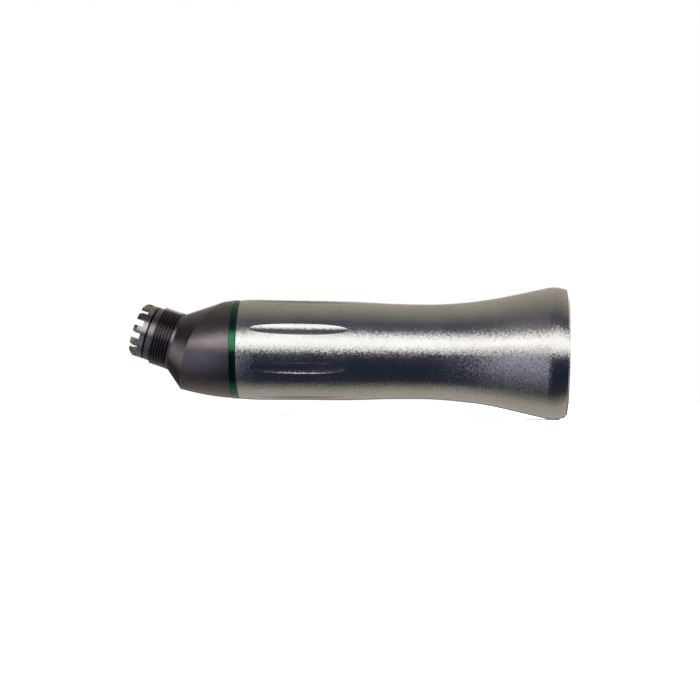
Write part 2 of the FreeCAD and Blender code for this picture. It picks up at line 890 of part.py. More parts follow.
def spur_gear(teeth, module, bore, length, shift=0.0):
    """A spur gear with a plain bore. Its teeth are a little thin, for backlash."""
    pitch_radius = module * teeth / 2
    tip = pitch_radius + size("addendum") * module
    root = pitch_radius - size("dedendum") * module
    wheel = gear_face(teeth, module, -size("thinning"), tip, root).extrude(Vector(length, 0, 0))
    wheel.translate(Vector(shift, 0, 0))
    return wheel.cut(Part.makeCylinder(bore, length, Vector(shift, 0, 0), Vector(1, 0, 0)))


def ring_gear():
    """The fixed internal gear shared by both stages."""
    module, teeth = size("module_size"), int(size("ring_teeth"))
    length = size("ring_gear_length")
    pitch_radius = module * teeth / 2
    hollow = gear_face(
        teeth,
        module,
        size("thinning"),
        pitch_radius + size("dedendum") * module + size("root_clearance"),
        pitch_radius - size("addendum") * module,
    )
    blank = Part.makeCylinder(size("case_bore"), length, Vector(), Vector(1, 0, 0))
    feature = doc.addObject("Part::Feature", "ring_gear")
    feature.Shape = blank.cut(hollow.extrude(Vector(length, 0, 0)))
    keep(feature, "ring_gear_start", spin=180 / teeth)


def pinion(label, along, bore, length):
    feature = doc.addObject("Part::Feature", label)
    feature.Shape = spur_gear(int(size("pinion_teeth")), size("module_size"), size(bore), size(length))
    keep(feature, along)


def orbit():
    """Distance of a planet from the long axis."""
    return "module_size * pinion_teeth"


def planet_angles():
    count = int(size("planet_count"))
    return [90 + 360 * index / count for index in range(count)]


def planet_stage(stage, carrier_start):
    """Planets that face the pinion with a gap between teeth, and the pins that carry them."""
    start = f"{carrier_start} - planet_gap - gear_face"
    teeth = int(size("pinion_teeth"))
    bore = size("pin_radius + pin_clearance")
    for index, angle in enumerate(planet_angles(), start=1):
        feature = doc.addObject("Part::Feature", f"{stage}_planet_{index}")
        feature.Shape = spur_gear(teeth, size("module_size"), bore, size("gear_face"))
        keep(feature, start, across=(orbit(), angle), spin=angle + 180 / teeth)
    body = add_body(f"{stage}_planet_pins")
    length = "gear_face + planet_gap + carrier_width"
    outline = [
        ("-pin_head_start", "0"),
        (length, "0"),
        (length, "pin_radius"),
        ("-pin_head_end", "pin_radius"),
        ("-pin_head_end", "pin_head"),
        ("-pin_head_start", "pin_head"),
    ]
    pin = revolve(body, outline, "Pin", axis=Placement(Vector(0, size(orbit()), 0), Rotation()))
    doc.recompute()
    repeat_around(body, pin, "planet_count", "Pins")
    keep(body, start)


def carrier(label, outline, along):
    """A turned carrier with a hole for each planet pin."""
    body = add_body(label)
    revolve(body, outline, "Turning")
    sketch = new_sketch(body, label + "PinHole", "YZ_Plane")
    circle = Part.Circle(Vector(0, size(orbit()), 0), Vector(0, 0, 1), size("pin_radius"))
    hole = sketch.addGeometry(circle, False)
    sketch.addConstraint(Sketcher.Constraint("PointOnObject", hole, 3, -2))
    reach = sketch.addConstraint(Sketcher.Constraint("DistanceY", -1, 1, hole, 3, size(orbit())))
    sketch.setExpression(f"Constraints[{reach}]", bound(orbit()))
    radius = sketch.addConstraint(Sketcher.Constraint("Radius", hole, size("pin_radius")))
    sketch.setExpression(f"Constraints[{radius}]", bound("pin_radius"))
    doc.recompute()
    pocket = body.newObject("PartDesign::Pocket", label + "PinPocket")
    pocket.Profile = sketch
    pocket.Reversed = True
    pocket.setExpression("Length", bound("carrier_width"))
    expect_less(body, pocket)
    repeat_around(body, pocket, "planet_count", "PinPockets")
    keep(body, along)


def planetary_train():
    """Two equal stages in one ring gear."""
    ring_gear()
    input_front = "input_front_bearing + bearing_width"
    pinion("input_pinion", input_front, "small_bore", f"carrier_start - carrier_gap - ({input_front})")
    planet_stage("stage_one", "carrier_start")
    carrier(
        "stage_one_carrier",
        [
            ("0", "0"),
            ("carrier_width + pinion_run", "0"),
            ("carrier_width + pinion_run", "small_bore"),
            ("carrier_width", "small_bore"),
            ("carrier_width", "carrier_radius"),
            ("0", "carrier_radius"),
        ],
        "carrier_start",
    )
    pinion("stage_two_pinion", "carrier_start + carrier_width", "small_bore", "pinion_run")
    planet_stage("stage_two", "output_carrier_start")
    shoulder = "output_rear_bearing - output_carrier_start"
    carrier(
        "output_shaft",
        [
            ("0", "0"),
            ("apex - shaft_end_gap - output_carrier_start", "0"),
            ("apex - shaft_end_gap - output_carrier_start", "bearing_bore"),
            (shoulder, "bearing_bore"),
            (shoulder, "collar_radius"),
            ("carrier_width", "collar_radius"),
            ("carrier_width", "carrier_radius"),
            ("0", "carrier_radius"),
        ],
        "output_carrier_start",
    )


def claw_gear(label, bore, hub, hub_end, way, spin):
    """A flat bevel gear whose straight-sided teeth all point at the bend."""
    teeth = int(size("claw_teeth"))
    cone = math.radians(90 - size("bend") / 2)
    tip = cone + math.radians(size("claw_tip_angle"))
    root = cone - math.radians(size("claw_root_angle"))
    sunk = root - math.radians(size("claw_root_sunk"))
    outside, inside, back = size("claw_radius"), size("claw_inner"), size("claw_back")
    pitch_half = math.tan(math.radians(size("claw_half_width")))
    lean = math.tan(math.radians(size("pressure")))
    along = Vector(1, 0, 0)

    def place(angle, radius):
        """Distance from the bend of a cone about the axis."""
        return radius / math.tan(angle)

    def section(radius):
        """A tooth's section at a radius: it grows in proportion to the distance from the bend."""
        corners = []
        for angle, side in ((tip, -1), (tip, 1), (sunk, 1), (sunk, -1)):
            rise = place(cone, radius) - place(angle, radius)
            corners.append(Vector(place(angle, radius), side * (radius * pitch_half - rise * lean), radius))
        return Part.makePolygon(corners + corners[:1])

    face = [
        Vector(place(root, inside), 0, bore),
        Vector(place(root, inside), 0, inside),
        Vector(place(root, outside), 0, outside),
        Vector(back, 0, outside),
        Vector(back, 0, hub),
        Vector(hub_end, 0, hub),
        Vector(hub_end, 0, bore),
    ]
    gear = Part.Face(Part.makePolygon(face + face[:1])).revolve(Vector(), along, 360)
    spare = size("claw_loft_spare")
    tooth = Part.makeLoft([section(inside * (1 - spare)), section(outside * (1 + spare))], True, True)
    tooth = tooth.common(tube(inside, outside, back))
    for index in range(teeth):
        turned = tooth.copy()
        turned.rotate(Vector(), along, 360 * index / teeth)
        gear = gear.fuse(turned)
    feature = doc.addObject("Part::Feature", label)
    feature.Shape = gear.removeSplitter()
    keep(feature, "0" if way is NECKWARD else "apex", way, spin=spin)


# ---------------------------------------------------------------- shafts


def input_line():
    """The input shaft, the sliding drive dog on its tail, and what keeps the dog there."""
    front = "input_front_bearing + bearing_width - shaft_rear"
    shaft = turned_part(
        "input_shaft",
        [
            ("0", "0"),
            ("carrier_start - carrier_gap - shaft_rear", "0"),
            ("carrier_start - carrier_gap - shaft_rear", "small_bore"),
            (front, "small_bore"),
            (front, "bearing_bore"),
            ("input_rear_bearing - shaft_rear", "bearing_bore"),
            ("input_rear_bearing - shaft_rear", "collar_radius"),
            ("collar_start - shaft_rear", "collar_radius"),
            ("collar_start - shaft_rear", "tail_radius"),
            ("shaft_chamfer", "tail_radius"),
            ("0", "tail_radius - shaft_chamfer"),
        ],
        "shaft_rear",
    )
    drill_for_cross_pin(shaft)
    pin = doc.addObject("Part::Cylinder", "cross_pin")
    pin.setExpression("Radius", bound("cross_pin_radius"))
    pin.setExpression("Height", bound("2 * (dog_radius - fine_edge)"))
    keep(pin, "cross_pin_place")
    half = Vector(0, size("dog_radius - fine_edge"), 0)
    pin.Placement = Placement(pin.Placement.Base + half, Rotation(Vector(1, 0, 0), 90))
    drive_dog()
    dog_spring()


def drill_for_cross_pin(shaft):
    """The hole right through the shaft's tail."""
    sketch = new_sketch(shaft, "CrossPinHole")
    reach = "cross_pin_place - shaft_rear"
    circle = Part.Circle(Vector(size(reach), 0, 0), Vector(0, 0, 1), size("cross_pin_radius"))
    hole = sketch.addGeometry(circle, False)
    sketch.addConstraint(Sketcher.Constraint("PointOnObject", hole, 3, -1))
    place = sketch.addConstraint(Sketcher.Constraint("DistanceX", -1, 1, hole, 3, size(reach)))
    sketch.setExpression(f"Constraints[{place}]", bound(reach))
    radius = sketch.addConstraint(Sketcher.Constraint("Radius", hole, size("cross_pin_radius")))
    sketch.setExpression(f"Constraints[{radius}]", bound("cross_pin_radius"))
    doc.recompute()
    pocket = shaft.newObject("PartDesign::Pocket", "CrossPinPocket")
    pocket.Profile = sketch
    pocket.setExpression("Length", bound("4 * tail_radius"))
    pocket.Midplane = True
    expect_less(shaft, pocket)
    shaft.Tip = pocket


def drive_dog():
    """A sleeve with two jaws at the rear for the motor's dog, and a slot that the cross pin runs in."""
    body = add_body("drive_dog")
    revolve(
        body,
        [
            ("0", "dog_bore"),
            ("dog_length", "dog_bore"),
            ("dog_length", "spring_radius + spring_seat"),
            ("dog_length - dog_shoulder", "dog_radius"),
            ("dog_chamfer", "dog_radius"),
            ("0", "dog_radius - dog_chamfer"),
        ],
        "Turning",
    )
    pin_at = "cross_pin_place - dog_place"
    slot_start = f"{pin_at} - cross_pin_radius - dog_travel - dog_slot_play"
    slot_stop = f"{pin_at} + cross_pin_radius + dog_slot_play / 2"
    cuts = (
        ("Jaws", "-dog_jaw_depth", "dog_jaw_depth", "dog_jaw / 2"),
        ("PinSlot", slot_start, slot_stop, "dog_slot / 2"),
    )
    for name, start, stop, half in cuts:
        sketch = new_sketch(body, "Dog" + name + "Outline")
        draw(sketch, [(start, f"-({half})"), (stop, f"-({half})"), (stop, half), (start, half)])
        doc.recompute()
        pocket = body.newObject("PartDesign::Pocket", "Dog" + name)
        pocket.Profile = sketch
        pocket.setExpression("Length", bound("4 * dog_radius"))
        pocket.Midplane = True
        expect_less(body, pocket)
        body.Tip = pocket
    keep(body, "dog_place")


def dog_spring():
    """The coil spring between the dog and the shaft's collar."""
    wire = size("spring_wire")
    start = size("spring_wire + spring_play")
    length = size("collar_start - dog_place - dog_length") - 2 * start
    radius = size("spring_radius")
    helix = Part.makeLongHelix(length / size("spring_turns"), length, radius)
    helix.Placement = Placement(Vector(start, 0, 0), Rotation(Vector(0, 0, 1), Vector(1, 0, 0)))
    section = Part.Wire(Part.makeCircle(wire, Vector(start, 0, -radius), Vector(0, 1, 0)))
    feature = doc.addObject("Part::Feature", "dog_spring")
    feature.Shape = Part.Wire(helix.Edges).makePipeShell([section], True, True)
    keep(feature, "dog_place + dog_length")


def spacer(label, rear, front, way=FRONTWARD):
    """A plain sleeve between the inner rings of a pair of bearings."""
    if way is NECKWARD:
        width, bore, outside = "small_width", "small_bore", "neck_hub"
    else:
        width, bore, outside = "bearing_width", "bearing_bore", "collar_radius"
    start = f"{rear} + {width}"
    length = f"{front} - ({start})"
    turned_part(label, [("0", bore), (length, bore), (length, outside), ("0", outside)], start, way)


def neck_line():
    """The neck shaft with its output gear, which stays behind the crown's prongs."""
    turned_part(
        "neck_shaft",
        [
            ("0", "0"),
            ("neck_shaft_end - shaft_end_gap", "0"),
            ("neck_shaft_end - shaft_end_gap", "small_bore - shaft_chamfer"),
            ("neck_shaft_end - shaft_chamfer - shaft_end_gap", "small_bore"),
            ("0", "small_bore"),
        ],
        "shaft_end_gap",
        NECKWARD,
    )
    hub_start = "neck_front_bearing + small_width"
    hub_length = size(f"output_gear_place - ({hub_start})")
    bore = size("small_bore")
    hub = tube(bore, size("neck_hub"), hub_length)
    teeth = int(size("pinion_teeth"))
    wheel = spur_gear(teeth, size("output_gear_module"), bore, size("output_gear_length"), hub_length)
    feature = doc.addObject("Part::Feature", "output_gear")
    feature.Shape = wheel.fuse(hub).removeSplitter()
    keep(feature, hub_start, NECKWARD)


def build():
    handle_sleeve()
    socket_liner()
    latch_ring()
    gear_case()
    green_ring()
    angle_housing()
    sleeve_o_ring()
    index_crown()
    input_line()
    bearing_pair("input", LARGE_BEARING, "input_rear_bearing", "input_front_bearing")
    spacer("input_spacer", "input_rear_bearing", "input_front_bearing")
    planetary_train()
    bearing_pair("output", LARGE_BEARING, "output_rear_bearing", "output_front_bearing")
    spacer("output_spacer", "output_rear_bearing", "output_front_bearing")
    hub_end = size("apex - output_front_bearing - bearing_width")
    claw_gear("drive_claw_gear", size("bearing_bore"), size("claw_hub"), hub_end, REARWARD, 0)
    half_tooth = 180 / size("claw_teeth")
    neck_rear = size("neck_rear_bearing")
    claw_gear("driven_claw_gear", size("small_bore"), size("neck_hub"), neck_rear, NECKWARD, half_tooth)
    bearing_pair("neck", SMALL_BEARING, "neck_rear_bearing", "neck_front_bearing", NECKWARD)
    spacer("neck_spacer", "neck_rear_bearing", "neck_front_bearing", NECKWARD)
    neck_line()


def write_parts():
    """Check every object, then write each sub-part to its own file."""
    doc.recompute()
    for item in doc.Objects:
        if "Invalid" in item.State or "Error" in item.State:
            raise ValueError(f"{item.Label}: {item.State}")
    for item in parts:
        if item.Shape.isNull() or not item.Shape.isValid() or not item.Shape.Solids:
            raise ValueError(f"{item.Label}: bad shape")
    os.makedirs("parts", exist_ok=True)
    for item in parts:
        item.Shape.exportStep(f"parts/{item.Label}.step")
        print(item.Label, len(item.Shape.Solids), "solids", round(item.Shape.Volume, 3), "mm3")


build()
write_parts()
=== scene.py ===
"""A contra angle handpiece without its head, seen from the side on a pale floor."""
import json
import math

import bpy
from mathutils import Matrix, Vector


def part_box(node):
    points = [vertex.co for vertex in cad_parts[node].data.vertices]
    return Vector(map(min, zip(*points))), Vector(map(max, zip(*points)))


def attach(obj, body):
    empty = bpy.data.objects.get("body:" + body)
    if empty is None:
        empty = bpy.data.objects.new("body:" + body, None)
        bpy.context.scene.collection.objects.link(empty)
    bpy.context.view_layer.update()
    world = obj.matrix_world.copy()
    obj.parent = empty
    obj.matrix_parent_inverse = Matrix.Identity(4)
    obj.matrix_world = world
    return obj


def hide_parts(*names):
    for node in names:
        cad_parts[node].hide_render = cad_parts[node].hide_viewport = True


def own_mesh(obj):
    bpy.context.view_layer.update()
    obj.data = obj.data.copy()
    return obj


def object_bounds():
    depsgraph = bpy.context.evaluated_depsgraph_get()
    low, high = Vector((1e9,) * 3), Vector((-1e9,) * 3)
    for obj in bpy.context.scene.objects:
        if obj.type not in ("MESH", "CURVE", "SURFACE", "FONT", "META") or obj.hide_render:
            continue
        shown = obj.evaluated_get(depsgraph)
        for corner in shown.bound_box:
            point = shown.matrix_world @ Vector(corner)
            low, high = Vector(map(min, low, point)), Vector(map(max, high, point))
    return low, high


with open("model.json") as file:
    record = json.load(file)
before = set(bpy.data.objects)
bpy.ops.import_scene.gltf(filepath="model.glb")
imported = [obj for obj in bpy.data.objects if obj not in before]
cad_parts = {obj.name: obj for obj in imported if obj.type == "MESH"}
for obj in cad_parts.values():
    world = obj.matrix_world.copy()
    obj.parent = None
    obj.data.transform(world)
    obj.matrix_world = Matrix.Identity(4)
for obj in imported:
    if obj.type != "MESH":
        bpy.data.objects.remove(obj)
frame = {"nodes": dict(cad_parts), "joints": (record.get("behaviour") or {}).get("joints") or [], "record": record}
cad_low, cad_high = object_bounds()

MM = 0.001
NODES = frame["nodes"]
REAR = cad_high.x
JOINTS = {joint["name"]: joint for joint in frame["joints"]}

# the bend and the neck's axis, from the neck's joint
NECK_AXIS = -Vector(JOINTS["neck_spin"]["axis"])
NECK_POINT = Vector(JOINTS["neck_spin"]["pos_m"])
BEND = NECK_POINT - NECK_AXIS * (NECK_POINT.z / NECK_AXIS.z)

# distances along the neck from the bend over which one finish gives way to the next; on the crown, the painted
# shade at its foot gives way to steel
THREAD_START = (3.5 * MM, 3.6 * MM)
THREAD_END = (6.4 * MM, 6.5 * MM)
COLLAR_START = (6.5 * MM, 6.6 * MM)
CROWN_SHADE_FADE = (7.5 * MM, 7.65 * MM)

# distances off the neck's axis over which the wear on the thread's crests comes in
THREAD_CREST = (4.4 * MM, 4.45 * MM)

# the share of a noise's range that most of its values fall in, and the narrower middle of it
MOST = (0.3, 0.7)
MIDDLE = (0.35, 0.65)


# ---------------------------------------------------------------- node trees


def open_socket(sockets, name):
    """The socket of that name that is in use, since a Mix node has one for each kind of data."""
    return next(socket for socket in sockets if socket.name == name and socket.enabled)


class Tree:
    """A node tree, with short ways to add nodes and join them."""

    def __init__(self, tree):
        self.tree = tree

    def put(self, socket, value):
        """Join a socket to another one, or set it to a plain value. Colours are given without alpha."""
        if isinstance(value, bpy.types.NodeSocket):
            self.tree.links.new(value, socket)
        elif socket.type == "RGBA":
            socket.default_value = (*value, 1.0)
        else:
            socket.default_value = value

    def add(self, kind, inputs=(), **settings):
        """Add a node. Its inputs are given in order, or by name in a dict."""
        node = self.tree.nodes.new(kind)
        for name, value in settings.items():
            setattr(node, name, value)
        for key, value in inputs.items() if isinstance(inputs, dict) else enumerate(inputs):
            self.put(node.inputs[key], value)
        return node

    def math(self, operation, *values):
        return self.add("ShaderNodeMath", values, operation=operation).outputs[0]

    def vector_math(self, operation, *values):
        """The node, whose first output is a vector and whose second one, Value, is a number."""
        return self.add("ShaderNodeVectorMath", values, operation=operation)

    def mix(self, share, first, second):
        """Blend two colours."""
        node = self.add("ShaderNodeMix", data_type="RGBA")
        for name, value in (("Factor", share), ("A", first), ("B", second)):
            self.put(open_socket(node.inputs, name), value)
        return open_socket(node.outputs, "Result")


class Recipe(Tree):
    """A material's node tree. Its noise keeps to the object's own coordinates."""

    def __init__(self, name):
        self.material = bpy.data.materials.new(name)
        self.material.use_nodes = True
        super().__init__(self.material.node_tree)
        self.shader = self.tree.nodes["Principled BSDF"]
        self.place = self.add("ShaderNodeTexCoord").outputs["Object"]

    def set(self, **values):
        """Set the shader's own sockets: base_color stands for Base Color, and so on."""
        for name, value in values.items():
            self.put(self.shader.inputs[name.replace("_", " ").title()], value)

    def dot(self, vector, axis):
        return self.vector_math("DOT_PRODUCT", vector, tuple(axis)).outputs["Value"]

    def between(self, value, low, high, to_low=0.0, to_high=1.0):
        """Map a value from low..high to to_low..to_high, eased and clamped."""
        limits = (value, low, high, to_low, to_high)
        return self.add("ShaderNodeMapRange", limits, interpolation_type="SMOOTHSTEP").outputs["Result"]

    def noise(self, size, detail=2.0, roughness=0.5, stretch=(1, 1, 1)):
        """Noise whose features are about size metres across, longer along the axes with a large stretch."""
        scale = [1 / (size * part) for part in stretch]
        mapping = self.add("ShaderNodeMapping", {"Vector": self.place, "Scale": scale})
        look = {"Vector": mapping.outputs[0], "Scale": 1.0, "Detail": detail, "Roughness": roughness}
        return self.add("ShaderNodeTexNoise", look).outputs["Fac"]

    def bump(self, height, depth, before=None):
        """Relief of that depth in metres for a height of one."""
        relief = {"Strength": 1.0, "Distance": depth, "Height": height}
        if before:
            relief["Normal"] = before
        return self.add("ShaderNodeBump", relief).outputs["Normal"]

    def grain(self, size, tilt):
        """The surface's normal, tilted to and fro over grains of that size.

        A tilt of one is about 25 degrees.
        """
        look = {"Vector": self.place, "Scale": 1 / size, "Detail": 3.0, "Roughness": 0.8}
        swell = self.add("ShaderNodeTexNoise", look).outputs["Color"]
        normal = self.add("ShaderNodeNewGeometry").outputs["Normal"]
        shifted = self.vector_math("SUBTRACT", normal, [tilt] * 3).outputs[0]
        tilted = self.vector_math("MULTIPLY_ADD", swell, [2 * tilt] * 3, shifted).outputs[0]
        return self.vector_math("NORMALIZE", tilted).outputs[0]

    def along_neck(self):
        """Distance from the bend along the neck."""
        return self.math("SUBTRACT", self.dot(self.place, NECK_AXIS), BEND.dot(NECK_AXIS))

    def off_neck(self):
        """Distance from the neck's axis."""
        away = self.vector_math("SUBTRACT", self.place, BEND).outputs[0]
        across = self.vector_math("CROSS_PRODUCT", away, NECK_AXIS).outputs[0]
        return self.vector_math("LENGTH", across).outputs["Value"]


# ---------------------------------------------------------------- materials


def satin_steel():
    """The handle: stainless steel blasted to a glittering grain, which frays the edges of reflections."""
    recipe = Recipe("satin_steel")
    fine = recipe.noise(0.06 * MM, detail=1.0)
    patch = recipe.noise(5 * MM, detail=4.0, roughness=0.6)
    shade = recipe.between(patch, *MIDDLE)
    rough = recipe.between(fine, *MOST, 0.12, 0.19)
    smudge = recipe.between(patch, 0.4, 0.7, 0.0, 0.05)
    recipe.set(
        metallic=1.0,
        base_color=recipe.mix(shade, (0.62, 0.605, 0.585), (0.68, 0.67, 0.655)),
        roughness=recipe.math("ADD", rough, smudge),
        normal=recipe.bump(fine, 0.003 * MM, recipe.grain(0.26 * MM, 0.2)),
    )
    return recipe.material


def dark_coated():
    """The angle housing: a dark satin coating.

    It is darker in the thread, where it is worn brighter along the crests, and paler on the collar in front.
    """
    recipe = Recipe("dark_coated")
    grain = recipe.noise(0.16 * MM, detail=2.0, roughness=0.6)
    patch = recipe.noise(2.5 * MM, detail=3.0)
    along = recipe.along_neck()
    on_thread = recipe.between(along, *THREAD_START)
    before_collar = recipe.between(along, *THREAD_END, 1.0, 0.0)
    thread = recipe.math("MULTIPLY", on_thread, before_collar)
    on_crest = recipe.between(recipe.off_neck(), *THREAD_CREST)
    wear = recipe.between(recipe.noise(1.6 * MM, detail=4.0), 0.25, 0.7)
    worn = recipe.math("MULTIPLY", recipe.math("MULTIPLY", thread, on_crest), wear)
    shell = recipe.mix(recipe.between(patch, *MOST), (0.190, 0.169, 0.180), (0.225, 0.202, 0.213))
    on_collar = recipe.between(along, *COLLAR_START)
    shell = recipe.mix(on_collar, shell, (0.27, 0.25, 0.25))
    dark = recipe.mix(thread, shell, (0.10, 0.088, 0.098))
    recipe.set(
        metallic=1.0,
        base_color=recipe.mix(worn, dark, (0.26, 0.235, 0.24)),
        roughness=recipe.between(grain, *MOST, 0.24, 0.3),
        normal=recipe.bump(grain, 0.0015 * MM),
    )
    return recipe.material


def green_anodised():
    """The colour ring: glossy green anodised aluminium with faint turning lines."""
    recipe = Recipe("green_anodised")
    lines = recipe.noise(0.05 * MM, detail=1.0, stretch=(1, 60, 60))
    patch = recipe.noise(1.5 * MM, detail=2.0)
    recipe.set(
        metallic=1.0,
        base_color=recipe.mix(patch, (0.019, 0.118, 0.055), (0.028, 0.153, 0.07)),
        roughness=recipe.between(lines, *MOST, 0.14, 0.2),
        coat_weight=0.25,
        coat_roughness=0.06,
        normal=recipe.bump(lines, 0.001 * MM),
    )
    return recipe.material


def crown_steel():
    """The index crown: polished steel with a very fine grain, painted near black at its foot where it meets the
    housing's collar, as painted shade for the gap there.
    """
    recipe = Recipe("bright_steel")
    fine = recipe.noise(0.06 * MM, detail=2.0)
    stain = recipe.noise(0.9 * MM, detail=4.0)
    # the crown's foot is painted near black: painted shade for the gap between the crown and the collar
    clear_of_painted_shade = recipe.between(recipe.along_neck(), *CROWN_SHADE_FADE)
    steel = recipe.mix(recipe.between(stain, *MOST), (0.33, 0.31, 0.305), (0.47, 0.445, 0.44))
    recipe.set(
        metallic=1.0,
        base_color=recipe.mix(clear_of_painted_shade, (0.025, 0.022, 0.024), steel),
        roughness=recipe.between(fine, *MOST, 0.11, 0.17),
        normal=recipe.bump(fine, 0.001 * MM),
    )
    return recipe.material


def turned_metal(name, dark, light, rough):
    """Machined metal with fine turning lines round the handle's axis and a slight stain."""
    recipe = Recipe(name)
    along = recipe.dot(recipe.place, (1, 0, 0))
    pitch = {"W": along, "Scale": 1 / (0.06 * MM), "Detail": 2.0}
    lines = recipe.add("ShaderNodeTexNoise", pitch, noise_dimensions="1D").outputs["Fac"]
    stain = recipe.noise(1.2 * MM, detail=4.0)
    recipe.set(
        metallic=1.0,
        base_color=recipe.mix(recipe.between(stain, *MOST), dark, light),
        roughness=recipe.between(lines, *MOST, rough - 0.06, rough + 0.06),
        normal=recipe.bump(lines, 0.002 * MM),
    )
    return recipe.material


def phenolic():
    """Bearing cages: brown resin with a paler fleck."""
    recipe = Recipe("cage")
    fleck = recipe.noise(0.15 * MM, detail=3.0)
    recipe.set(
        base_color=recipe.mix(recipe.between(fleck, *MIDDLE), (0.22, 0.11, 0.04), (0.40, 0.23, 0.10)),
        roughness=0.5,
        normal=recipe.bump(fleck, 0.006 * MM),
    )
    return recipe.material


def seal_rubber():
    """The O-ring: matt black rubber."""
    recipe = Recipe("seal")
    grain = recipe.noise(0.1 * MM, detail=2.0)
    recipe.set(
        base_color=recipe.mix(grain, (0.012, 0.012, 0.012), (0.03, 0.03, 0.03)),
        roughness=0.6,
        normal=recipe.bump(grain, 0.004 * MM),
    )
    return recipe.material


# each turned metal's darker and lighter colour, and its roughness
TURNED_METALS = {
    "liner_steel": ((0.42, 0.42, 0.42), (0.52, 0.52, 0.51), 0.3),
    "case_brass": ((0.50, 0.36, 0.15), (0.62, 0.47, 0.22), 0.32),
    "gear_steel": ((0.34, 0.33, 0.32), (0.44, 0.43, 0.42), 0.34),
    "bearing_steel": ((0.62, 0.62, 0.63), (0.72, 0.72, 0.73), 0.14),
    "spring_steel": ((0.46, 0.45, 0.43), (0.56, 0.55, 0.53), 0.26),
}

# the record's material slots
MATERIALS = {
    "satin_steel": satin_steel(),
    "dark_coated": dark_coated(),
    "green_anodised": green_anodised(),
    "bright_steel": crown_steel(),
    "cage": phenolic(),
    "seal": seal_rubber(),
    **{name: turned_metal(name, *look) for name, look in TURNED_METALS.items()},
}


def dress_nodes():
    """Give every CAD node the material of its record slot."""
    for entry in frame["record"]["subparts"]:
        node = NODES[entry["node"]]
        for place in node.material_slots:
            place.material = MATERIALS[entry["material_slot"]]


def winding_spring():
    """The spring behind the dog, wound from round wire in place of the CAD node's spring, and carried with the
    input line.
    """
    low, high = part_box("dog_spring")
    wire = 0.18 * MM  # its radius
    turns = 3
    points_per_turn = 32
    radius = (high[2] - low[2]) / 2 - wire
    start = low[0] + wire
    length = high[0] - low[0] - 2 * wire
    count = turns * points_per_turn
    path = bpy.data.curves.new("winding", "CURVE")
    path.dimensions = "3D"
    path.bevel_depth = wire
    path.bevel_resolution = 4
    path.use_fill_caps = True
    spline = path.splines.new("POLY")
    spline.points.add(count)
    for step, point in enumerate(spline.points):
        angle = math.tau * step / points_per_turn
        along = start + length * step / count
        point.co = (along, radius * math.sin(angle), radius * math.cos(angle), 1.0)
    outline = bpy.data.objects.new("winding", path)
    mesh = bpy.data.meshes.new_from_object(outline)
    bpy.data.objects.remove(outline)
    mesh.shade_smooth()
    mesh.materials.append(MATERIALS["spring_steel"])
    spring = bpy.data.objects.new("dog_spring_coil", mesh)
    bpy.context.scene.collection.objects.link(spring)
    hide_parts("dog_spring")
    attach(spring, "input_line")
    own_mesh(spring)


# ---------------------------------------------------------------- floor, light and camera


FLOOR_WIDTH = 12


def pale_floor():
    """A wide plain floor that the rear rim touches, kept out of the metal's reflections."""
    bpy.ops.mesh.primitive_plane_add(size=FLOOR_WIDTH, location=(0, 0, cad_low.z))
    floor = bpy.context.object
    floor.name = "floor"
    recipe = Recipe("floor")
    cloud = recipe.noise(0.4, detail=2.0)
    recipe.set(base_color=recipe.mix(cloud, (0.90, 0.90, 0.90), (0.93, 0.93, 0.93)), roughness=0.9)
    floor.data.materials.append(recipe.material)
    floor.visible_glossy = False


class Sky(Tree):
    """The world's node tree."""

    def __init__(self):
        world = bpy.data.worlds.new("studio")
        bpy.context.scene.world = world
        world.use_nodes = True
        super().__init__(world.node_tree)
        self.tree.nodes.clear()

    def over(self, value, low, high, to_low, to_high):
        """Map a value from low..high to to_low..to_high in a straight line, clamped."""
        return self.add("ShaderNodeMapRange", (value, low, high, to_low, to_high)).outputs["Result"]

    def ramp(self, value, bands):
        """The bands' colours over an angle in radians."""
        share = self.math("MULTIPLY_ADD", value, 0.5 / math.pi, 0.5)
        node = self.add("ShaderNodeValToRGB", (share,))
        elements = node.color_ramp.elements
        while len(elements) < len(bands):
            elements.new(0.5)
        for element, (degrees, colour) in zip(elements, bands):
            element.position = (degrees + 180) / 360
            element.color = (*colour, 1.0)
        return node.outputs["Color"]

    def glow(self, colour, strength):
        return self.add("ShaderNodeBackground", (colour, strength)).outputs[0]


# degrees round the object's long axis, 0 at the front and 90 overhead, with the brightness there
HANDLE_BANDS = (
    (-180, (0.06, 0.06, 0.07)),
    (-166, (0.08, 0.08, 0.09)),
    (-154, (0.48, 0.45, 0.41)),
    (-112, (0.42, 0.395, 0.34)),
    (-94, (0.20, 0.195, 0.18)),
    (-80, (0.028, 0.030, 0.045)),
    (-40, (0.018, 0.024, 0.048)),
    (-17, (0.032, 0.032, 0.055)),
    (-7, (0.08, 0.08, 0.10)),
    (-0.5, (0.92, 0.92, 0.92)),
    (12, (1.52, 1.52, 1.52)),
    (26, (1.52, 1.52, 1.52)),
    (36, (0.95, 0.95, 0.95)),
    (45, (0.11, 0.106, 0.135)),
    (66, (0.09, 0.088, 0.112)),
    (84, (0.21, 0.205, 0.195)),
    (108, (0.34, 0.325, 0.27)),
    (136, (0.44, 0.41, 0.35)),
    (158, (0.46, 0.43, 0.37)),
    (163, (1.40, 1.40, 1.40)),
    (176, (1.40, 1.40, 1.40)),
    (180, (0.06, 0.06, 0.07)),
)
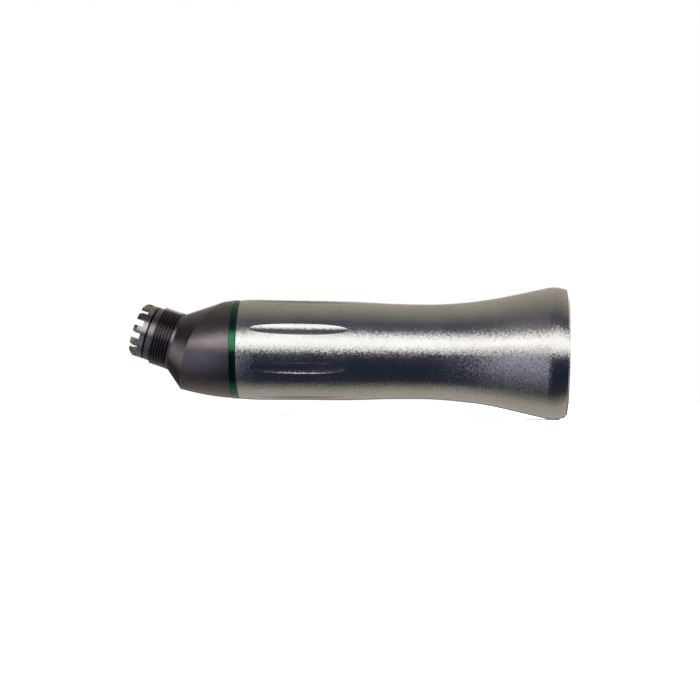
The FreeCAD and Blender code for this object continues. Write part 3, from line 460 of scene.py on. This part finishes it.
NECK_BANDS = (
    (-180, (0.06, 0.06, 0.07)),
    (-166, (0.08, 0.08, 0.09)),
    (-150, (0.19, 0.175, 0.175)),
    (-121, (0.17, 0.16, 0.16)),
    (-96, (0.17, 0.165, 0.17)),
    (-76, (0.19, 0.19, 0.205)),
    (-58, (0.28, 0.28, 0.335)),
    (-42, (0.40, 0.41, 0.51)),
    (-26, (0.53, 0.54, 0.67)),
    (-11, (0.53, 0.53, 0.62)),
    (-1, (0.58, 0.57, 0.61)),
    (7, (0.92, 0.90, 0.89)),
    (15, (1.66, 1.63, 1.54)),
    (24, (1.84, 1.81, 1.70)),
    (33, (0.74, 0.72, 0.73)),
    (43, (0.28, 0.27, 0.28)),
    (66, (0.17, 0.165, 0.17)),
    (90, (0.18, 0.17, 0.17)),
    (115, (0.26, 0.25, 0.25)),
    (158, (0.32, 0.30, 0.30)),
    (163, (1.40, 1.40, 1.40)),
    (176, (1.40, 1.40, 1.40)),
    (180, (0.06, 0.06, 0.07)),
)


# shares of the reflection's direction that point along the handle, negative towards the neck:
# where the handle's bands give way to the neck's, where the neck's fade, and where the end cards come in
NECK_BLEND = (-0.2, -0.5)
NECK_FADE = (-0.55, -0.70)
END_CARDS = (0.90, 0.99)


def studio_world():
    """White behind the object, and a studio that only its reflections see.

    They see a soft box in front with dark flags above and below it, and warm grey walls overhead and
    underfoot. Towards the neck's end the box is narrower and the flag below it paler. A soft white card
    stands off each end.
    """
    sky = Sky()
    direction = sky.add("ShaderNodeTexCoord").outputs["Generated"]
    along, depth, up = sky.add("ShaderNodeSeparateXYZ", (direction,)).outputs
    turn = sky.math("ARCTAN2", up, sky.math("MULTIPLY", depth, -1.0))
    towards_neck = sky.over(along, *NECK_BLEND, 0.0, 1.0)
    bands = sky.mix(towards_neck, sky.ramp(turn, HANDLE_BANDS), sky.ramp(turn, NECK_BANDS))
    past_neck = sky.over(along, *NECK_FADE, 1.0, 0.4)
    end_on = sky.over(sky.math("ABSOLUTE", along), *END_CARDS, 0.0, 0.5)
    end_cards = sky.glow((1.0, 0.985, 0.965), end_on)
    reflected = sky.add("ShaderNodeAddShader", (sky.glow(bands, past_neck), end_cards)).outputs[0]
    seen = sky.glow((1.0, 1.0, 1.0), 1.0)
    straight = sky.add("ShaderNodeLightPath").outputs["Is Camera Ray"]
    choice = sky.add("ShaderNodeMixShader", (straight, reflected, seen)).outputs[0]
    sky.add("ShaderNodeOutputWorld", (choice,))


def overhead_light():
    """Even soft light from above and a little in front, kept out of the metal's reflections."""
    data = bpy.data.lights.new("overhead", "SUN")
    data.angle = math.radians(70)
    data.energy = 9.0
    light = bpy.data.objects.new("overhead", data)
    light.rotation_euler = (math.radians(20), 0, 0)
    light.visible_glossy = False
    light.visible_camera = False
    bpy.context.scene.collection.objects.link(light)


# the photograph's viewpoint: lens in mm, where the camera looks, where it stands, and its tip in degrees
LENS = 94.06
AIM = Vector((REAR - 0.0327, 0, 0.0001))
SPOT = Vector((REAR - 0.0139, -0.276, -0.0076))
ROLL = 0.85


def side_camera():
    """A long lens a little to the rear of the middle and just below the axis, tipped by under a degree."""
    data = bpy.data.cameras.new("camera")
    data.lens = LENS
    data.sensor_width = 36.0
    data.clip_start = 0.01
    data.clip_end = 20.0
    camera = bpy.data.objects.new("camera", data)
    look = (AIM - SPOT).to_track_quat("-Z", "Y").to_matrix().to_4x4()
    camera.matrix_world = Matrix.Translation(SPOT) @ look @ Matrix.Rotation(math.radians(ROLL), 4, "Z")
    bpy.context.scene.collection.objects.link(camera)
    bpy.context.scene.camera = camera


dress_nodes()
winding_spring()
pale_floor()
studio_world()
overhead_light()
side_camera()
bpy.context.scene.view_settings.view_transform = "Standard"
